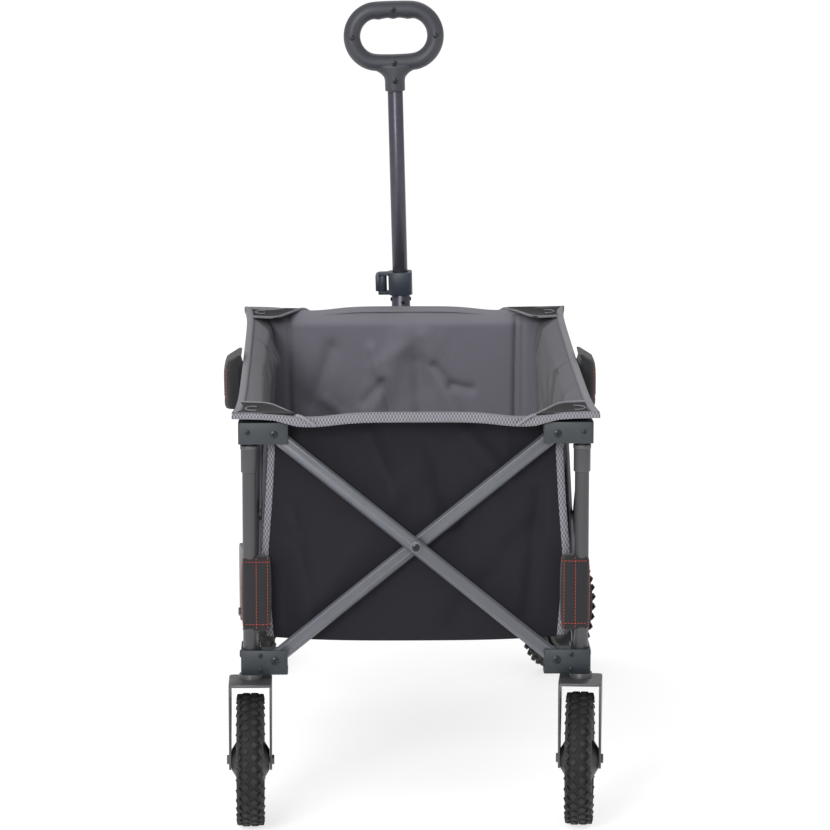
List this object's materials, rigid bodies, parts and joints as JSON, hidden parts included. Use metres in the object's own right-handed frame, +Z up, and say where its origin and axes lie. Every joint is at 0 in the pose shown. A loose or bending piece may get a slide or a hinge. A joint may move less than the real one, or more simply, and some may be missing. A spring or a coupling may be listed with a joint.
{
  "type": "folding wagon with pull handle",
  "caption": "Folding utility wagon with a scissor frame, hung fabric bag, swivel wheels and a telescoping pull handle",
  "frame": {"origin": "on the ground under the middle of the open wagon's bounding box", "axes": "+Z up, +Y towards the pull handle, +X to the right seen from behind"},
  "size_m": [0.5568, 1.111, 1.0246],
  "materials": {
    "bracket_plastic": "moulded grey plastic",
    "lower_bracket_plastic": "moulded dark grey plastic",
    "post_steel": "dark grey powder coat",
    "arm_steel": "grey satin powder coat",
    "tyre_rubber": "matt knobbed rubber",
    "hub_plastic": "dark plastic",
    "fork_steel": "dark painted steel sheet",
    "bag_fabric": "woven dark grey cloth",
    "mat_fabric": "cloth-covered board",
    "sleeve_fabric": "black padded cloth",
    "handle_aluminium": "anodised grey tube",
    "clamp_plastic": "moulded blue-grey plastic",
    "grip_plastic": "soft grey grip"
  },
  "bodies": {
    "rear_left_leg": {"rear_left_foot": "lower_bracket_plastic", "rear_left_post": "post_steel", "rear_left_sleeve": "sleeve_fabric"},
    "rear_left_top": {"rear_left_head": "bracket_plastic", "bag_rear": "bag_fabric", "bag_left": "bag_fabric", "bag_floor": "bag_fabric", "base_mat": "mat_fabric"},
    "rear_left_caster": {"rear_left_fork": "fork_steel"},
    "rear_left_wheel": {"rear_left_hub": "hub_plastic", "rear_left_tyre": "tyre_rubber"},
    "rear_right_leg": {"rear_right_foot": "lower_bracket_plastic", "rear_right_post": "post_steel", "rear_right_sleeve": "sleeve_fabric"},
    "rear_right_top": {"rear_right_head": "bracket_plastic", "bag_right": "bag_fabric"},
    "rear_right_caster": {"rear_right_fork": "fork_steel"},
    "rear_right_wheel": {"rear_right_hub": "hub_plastic", "rear_right_tyre": "tyre_rubber"},
    "front_left_leg": {"front_left_foot": "lower_bracket_plastic", "front_left_post": "post_steel", "front_left_sleeve": "sleeve_fabric"},
    "front_left_top": {"front_left_head": "bracket_plastic", "bag_front": "bag_fabric"},
    "front_left_caster": {"front_left_fork": "fork_steel"},
    "front_left_wheel": {"front_left_hub": "hub_plastic", "front_left_tyre": "tyre_rubber"},
    "front_right_leg": {"front_right_foot": "lower_bracket_plastic", "front_right_post": "post_steel", "front_right_sleeve": "sleeve_fabric"},
    "front_right_top": {"front_right_head": "bracket_plastic"},
    "front_right_caster": {"front_right_fork": "fork_steel"},
    "front_right_wheel": {"front_right_hub": "hub_plastic", "front_right_tyre": "tyre_rubber"},
    "left_mid_lower": {"left_mid_foot": "lower_bracket_plastic"},
    "left_mid_upper": {"left_mid_head": "bracket_plastic", "left_flap": "sleeve_fabric"},
    "left_scissor_1a": {"left_arm_1a": "arm_steel"},
    "left_scissor_1b": {"left_arm_1b": "arm_steel"},
    "left_scissor_2a": {"left_arm_2a": "arm_steel"},
    "left_scissor_2b": {"left_arm_2b": "arm_steel"},
    "right_mid_lower": {"right_mid_foot": "lower_bracket_plastic"},
    "right_mid_upper": {"right_mid_head": "bracket_plastic", "right_flap": "sleeve_fabric"},
    "right_scissor_1a": {"right_arm_1a": "arm_steel"},
    "right_scissor_1b": {"right_arm_1b": "arm_steel"},
    "right_scissor_2a": {"right_arm_2a": "arm_steel"},
    "right_scissor_2b": {"right_arm_2b": "arm_steel"},
    "rear_scissor_a": {"rear_arm_a": "arm_steel"},
    "rear_scissor_b": {"rear_arm_b": "arm_steel"},
    "front_scissor_a": {"front_arm_a": "arm_steel"},
    "front_scissor_b": {"front_arm_b": "arm_steel"},
    "handle_bracket": {"handle_mount": "lower_bracket_plastic"},
    "handle_lower": {"handle_tube": "handle_aluminium", "clamp_body": "clamp_plastic"},
    "handle_lever": {"clamp_lever": "clamp_plastic"},
    "handle_upper": {"handle_rod": "handle_aluminium", "grip_back": "grip_plastic", "grip_front": "grip_plastic"}
  },
  "joints": [
    {"name": "frame_fold", "type": "hinge", "parent": "rear_left_leg", "child": "rear_scissor_a", "pos_m": [-0.20294, -0.4369, 0.21844], "axis": [0, -1, 0], "range_deg": [0, 28.9], "deforming": ["bag_rear", "bag_left", "bag_right", "bag_front", "bag_floor", "base_mat"]},
    {"name": "rear_centre", "type": "hinge", "parent": "rear_scissor_a", "child": "rear_scissor_b", "pos_m": [-0.01594, -0.4369, 0.37094], "axis": [0, -1, 0], "range_deg": [-58.8, 1]},
    {"name": "rear_right_foot_pivot", "type": "hinge", "parent": "rear_scissor_b", "child": "rear_right_leg", "pos_m": [0.17106, -0.4369, 0.21844], "axis": [0, -1, 0], "range_deg": [-0.5, 29.4]},
    {"name": "rear_left_head_pivot", "type": "hinge", "parent": "rear_scissor_b", "child": "rear_left_top", "pos_m": [-0.20294, -0.4369, 0.52344], "axis": [0, -1, 0], "range_deg": [-0.5, 29.4]},
    {"name": "rear_right_head_pivot", "type": "hinge", "parent": "rear_scissor_a", "child": "rear_right_top", "pos_m": [0.17106, -0.4369, 0.52344], "axis": [0, -1, 0], "range_deg": [-29.4, 0.5]},
    {"name": "left_rear_foot_pivot", "type": "hinge", "parent": "rear_left_leg", "child": "left_scissor_1a", "pos_m": [-0.23594, -0.4039, 0.21844], "axis": [1, 0, 0], "range_deg": [-0.5, 29.4]},
    {"name": "left_rear_centre", "type": "hinge", "parent": "left_scissor_1a", "child": "left_scissor_1b", "pos_m": [-0.23594, -0.2169, 0.37094], "axis": [1, 0, 0], "range_deg": [-58.8, 1]},
    {"name": "left_mid_foot_pivot", "type": "hinge", "parent": "left_scissor_1b", "child": "left_mid_lower", "pos_m": [-0.23594, -0.0299, 0.21844], "axis": [1, 0, 0], "range_deg": [-0.5, 29.4]},
    {"name": "left_mid_head_pivot", "type": "hinge", "parent": "left_scissor_1a", "child": "left_mid_upper", "pos_m": [-0.23594, -0.0299, 0.52344], "axis": [1, 0, 0], "range_deg": [-29.4, 0.5]},
    {"name": "left_front_arm_pivot", "type": "hinge", "parent": "left_mid_lower", "child": "left_scissor_2a", "pos_m": [-0.23594, 0.0301, 0.21844], "axis": [1, 0, 0], "range_deg": [-0.5, 29.4]},
    {"name": "left_front_centre", "type": "hinge", "parent": "left_scissor_2a", "child": "left_scissor_2b", "pos_m": [-0.23594, 0.2171, 0.37094], "axis": [1, 0, 0], "range_deg": [-58.8, 1]},
    {"name": "left_front_foot_pivot", "type": "hinge", "parent": "left_scissor_2b", "child": "front_left_leg", "pos_m": [-0.23594, 0.4041, 0.21844], "axis": [1, 0, 0], "range_deg": [-0.5, 29.4]},
    {"name": "left_front_head_pivot", "type": "hinge", "parent": "left_scissor_2a", "child": "front_left_top", "pos_m": [-0.23594, 0.4041, 0.52344], "axis": [1, 0, 0], "range_deg": [-29.4, 0.5]},
    {"name": "right_rear_foot_pivot", "type": "hinge", "parent": "rear_right_leg", "child": "right_scissor_1a", "pos_m": [0.20406, -0.4039, 0.21844], "axis": [1, 0, 0], "range_deg": [-0.5, 29.4]},
    {"name": "right_rear_centre", "type": "hinge", "parent": "right_scissor_1a", "child": "right_scissor_1b", "pos_m": [0.20406, -0.2169, 0.37094], "axis": [1, 0, 0], "range_deg": [-58.8, 1]},
    {"name": "right_mid_foot_pivot", "type": "hinge", "parent": "right_scissor_1b", "child": "right_mid_lower", "pos_m": [0.20406, -0.0299, 0.21844], "axis": [1, 0, 0], "range_deg": [-0.5, 29.4]},
    {"name": "right_mid_head_pivot", "type": "hinge", "parent": "right_scissor_1a", "child": "right_mid_upper", "pos_m": [0.20406, -0.0299, 0.52344], "axis": [1, 0, 0], "range_deg": [-29.4, 0.5]},
    {"name": "right_front_arm_pivot", "type": "hinge", "parent": "right_mid_lower", "child": "right_scissor_2a", "pos_m": [0.20406, 0.0301, 0.21844], "axis": [1, 0, 0], "range_deg": [-0.5, 29.4]},
    {"name": "right_front_centre", "type": "hinge", "parent": "right_scissor_2a", "child": "right_scissor_2b", "pos_m": [0.20406, 0.2171, 0.37094], "axis": [1, 0, 0], "range_deg": [-58.8, 1]},
    {"name": "right_front_foot_pivot", "type": "hinge", "parent": "right_scissor_2b", "child": "front_right_leg", "pos_m": [0.20406, 0.4041, 0.21844], "axis": [1, 0, 0], "range_deg": [-0.5, 29.4]},
    {"name": "right_front_head_pivot", "type": "hinge", "parent": "right_scissor_2a", "child": "front_right_top", "pos_m": [0.20406, 0.4041, 0.52344], "axis": [1, 0, 0], "range_deg": [-29.4, 0.5]},
    {"name": "front_foot_pivot", "type": "hinge", "parent": "front_left_leg", "child": "front_scissor_a", "pos_m": [-0.20294, 0.4371, 0.21844], "axis": [0, -1, 0], "range_deg": [-0.5, 29.4]},
    {"name": "front_centre", "type": "hinge", "parent": "front_scissor_a", "child": "front_scissor_b", "pos_m": [-0.01594, 0.4371, 0.37094], "axis": [0, -1, 0], "range_deg": [-58.8, 1]},
    {"name": "handle_bracket_pivot", "type": "hinge", "parent": "front_scissor_a", "child": "handle_bracket", "pos_m": [-0.01594, 0.4371, 0.37094], "axis": [0, -1, 0], "range_deg": [-29.4, 0.5]},
    {"name": "rear_left_swivel", "type": "hinge", "parent": "rear_left_leg", "child": "rear_left_caster", "pos_m": [-0.23594, -0.4369, 0.18944], "axis": [0, 0, 1], "continuous": true},
    {"name": "rear_left_roll", "type": "hinge", "parent": "rear_left_caster", "child": "rear_left_wheel", "pos_m": [-0.23594, -0.4669, 0.08844], "axis": [1, 0, 0], "continuous": true},
    {"name": "rear_right_swivel", "type": "hinge", "parent": "rear_right_leg", "child": "rear_right_caster", "pos_m": [0.20406, -0.4369, 0.18944], "axis": [0, 0, 1], "continuous": true},
    {"name": "rear_right_roll", "type": "hinge", "parent": "rear_right_caster", "child": "rear_right_wheel", "pos_m": [0.20145, -0.46678, 0.08844], "axis": [0.9962, -0.0872, 0], "continuous": true},
    {"name": "front_left_swivel", "type": "hinge", "parent": "front_left_leg", "child": "front_left_caster", "pos_m": [-0.23594, 0.4371, 0.18944], "axis": [0, 0, 1], "continuous": true},
    {"name": "front_left_roll", "type": "hinge", "parent": "front_left_caster", "child": "front_left_wheel", "pos_m": [-0.23959, 0.46688, 0.08844], "axis": [-0.9925, -0.1219, 0], "continuous": true},
    {"name": "front_right_swivel", "type": "hinge", "parent": "front_right_leg", "child": "front_right_caster", "pos_m": [0.20406, 0.4371, 0.18944], "axis": [0, 0, 1], "continuous": true},
    {"name": "front_right_roll", "type": "hinge", "parent": "front_right_caster", "child": "front_right_wheel", "pos_m": [0.2204, 0.46226, 0.08844], "axis": [-0.8387, 0.5446, 0], "continuous": true},
    {"name": "handle_swing", "type": "hinge", "parent": "handle_bracket", "child": "handle_lower", "pos_m": [-0.01594, 0.4866, 0.37094], "axis": [-1, 0, 0], "range_deg": [0, 118]},
    {"name": "handle_telescope", "type": "slide", "parent": "handle_lower", "child": "handle_upper", "axis": [0.0262, 0, -0.9997], "range_m": [0, 0.175]},
    {"name": "clamp_turn", "type": "hinge", "parent": "handle_lower", "child": "handle_lever", "pos_m": [-0.0488, 0.4786, 0.59466], "axis": [-0.0262, 0, 0.9997], "range_deg": [0, 100]}
  ],
  "couplings": [
    {"joint": "rear_centre", "follows": "frame_fold", "ratio": -2},
    {"joint": "rear_right_foot_pivot", "follows": "frame_fold", "ratio": 1},
    {"joint": "rear_left_head_pivot", "follows": "frame_fold", "ratio": 1},
    {"joint": "rear_right_head_pivot", "follows": "frame_fold", "ratio": -1},
    {"joint": "left_rear_foot_pivot", "follows": "frame_fold", "ratio": 1},
    {"joint": "left_rear_centre", "follows": "frame_fold", "ratio": -2},
    {"joint": "left_mid_foot_pivot", "follows": "frame_fold", "ratio": 1},
    {"joint": "left_mid_head_pivot", "follows": "frame_fold", "ratio": -1},
    {"joint": "left_front_arm_pivot", "follows": "frame_fold", "ratio": 1},
    {"joint": "left_front_centre", "follows": "frame_fold", "ratio": -2},
    {"joint": "left_front_foot_pivot", "follows": "frame_fold", "ratio": 1},
    {"joint": "left_front_head_pivot", "follows": "frame_fold", "ratio": -1},
    {"joint": "right_rear_foot_pivot", "follows": "frame_fold", "ratio": 1},
    {"joint": "right_rear_centre", "follows": "frame_fold", "ratio": -2},
    {"joint": "right_mid_foot_pivot", "follows": "frame_fold", "ratio": 1},
    {"joint": "right_mid_head_pivot", "follows": "frame_fold", "ratio": -1},
    {"joint": "right_front_arm_pivot", "follows": "frame_fold", "ratio": 1},
    {"joint": "right_front_centre", "follows": "frame_fold", "ratio": -2},
    {"joint": "right_front_foot_pivot", "follows": "frame_fold", "ratio": 1},
    {"joint": "right_front_head_pivot", "follows": "frame_fold", "ratio": -1},
    {"joint": "front_foot_pivot", "follows": "frame_fold", "ratio": 1},
    {"joint": "front_centre", "follows": "frame_fold", "ratio": -2},
    {"joint": "handle_bracket_pivot", "follows": "frame_fold", "ratio": -1}
  ]
}
